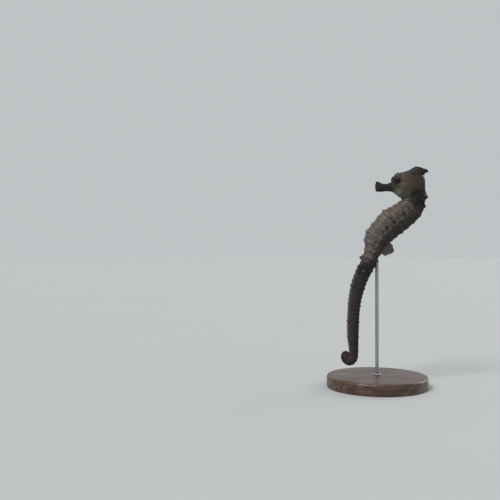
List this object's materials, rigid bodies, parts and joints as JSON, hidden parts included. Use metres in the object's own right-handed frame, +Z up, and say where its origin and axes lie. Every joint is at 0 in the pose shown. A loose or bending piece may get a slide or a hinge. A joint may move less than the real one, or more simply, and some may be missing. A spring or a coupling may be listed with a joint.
{
  "type": "seahorse",
  "caption": "Seahorse with a tubular snout, hooked coronet, ringed trunk and tail with a curled tip, held upright by one rod on a round display base.",
  "frame": {"origin": "centre of the underside of the display base", "axes": "+Z up, the animal faces -Y, +X is its left side"},
  "size_m": [0.052, 0.0528, 0.1145],
  "materials": {
    "head_hide": "smooth bony skin over the skull, olive brown, slightly moist",
    "trunk_hide": "thin skin over bony rings, pinkish tan brown with fine dark spots, slightly moist",
    "tail_hide": "thin skin over bony rings, dark purple brown, slightly moist",
    "fin": "thin rayed membrane, brownish, stands in for a fish fin",
    "eye": "wet, dark iris with a fine gold ring",
    "stand_wood": "turned walnut, satin oil",
    "stand_steel": "drawn steel rod, satin"
  },
  "bodies": {
    "root": {"head": "head_hide", "snout": "head_hide", "jaw": "head_hide", "coronet": "head_hide", "gill_cover_left": "head_hide", "gill_cover_right": "head_hide", "neck": "head_hide", "trunk_1": "trunk_hide", "trunk_2": "trunk_hide", "trunk_3": "trunk_hide", "tail_1": "tail_hide", "tail_2": "tail_hide", "tail_3": "tail_hide", "tail_4": "tail_hide", "tail_5": "tail_hide", "tail_tip": "tail_hide", "dorsal_fin": "fin", "anal_fin": "fin", "pectoral_fin_left": "fin", "pectoral_fin_right": "fin", "eye_left": "eye", "eye_right": "eye", "stand_base": "stand_wood", "stand_rod": "stand_steel"}
  },
  "joints": []
}
